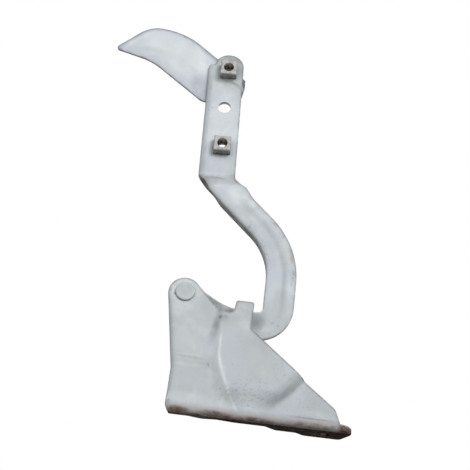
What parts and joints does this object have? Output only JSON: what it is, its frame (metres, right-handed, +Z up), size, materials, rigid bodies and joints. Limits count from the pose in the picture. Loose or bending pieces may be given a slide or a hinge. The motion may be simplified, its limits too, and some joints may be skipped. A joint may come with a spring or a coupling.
{
  "type": "hood hinge",
  "caption": "Vehicle hood hinge: a pressed sheet bracket, a gooseneck arm that swings on a rivet, and a flat blade clamped behind the arm's hood plate.",
  "frame": {"origin": "on the underside of the base flange, straight below the pivot, in the middle plane of the arm's sheet", "axes": "+X to the right along the base flange, +Y from the visible face to the back through the sheets, +Z up from the base towards the hood plate"},
  "size_m": [0.2246, 0.036, 0.3411],
  "materials": {
    "bracket_paint": "worn grey paint, rust brown along the base bend",
    "arm_paint": "worn light grey paint",
    "blade_paint": "worn pale grey paint",
    "rivet_paint": "grey paint over steel",
    "bush_bronze": "plain bronze",
    "nut_paint": "grey paint over steel"
  },
  "bodies": {
    "bracket": {"base_bracket": "bracket_paint", "pivot_rivet": "rivet_paint", "spacer_collar": "rivet_paint", "rear_washer": "rivet_paint"},
    "arm": {"hinge_arm": "arm_paint", "pivot_bush": "bush_bronze", "wing_plate": "blade_paint", "weld_nut_upper": "nut_paint", "weld_nut_lower": "nut_paint"}
  },
  "joints": [
    {"name": "hood_swing", "type": "hinge", "parent": "bracket", "child": "arm", "pos_m": [0, 0, 0.0915], "axis": [0, 1, 0], "range_deg": [-4, 88]}
  ]
}
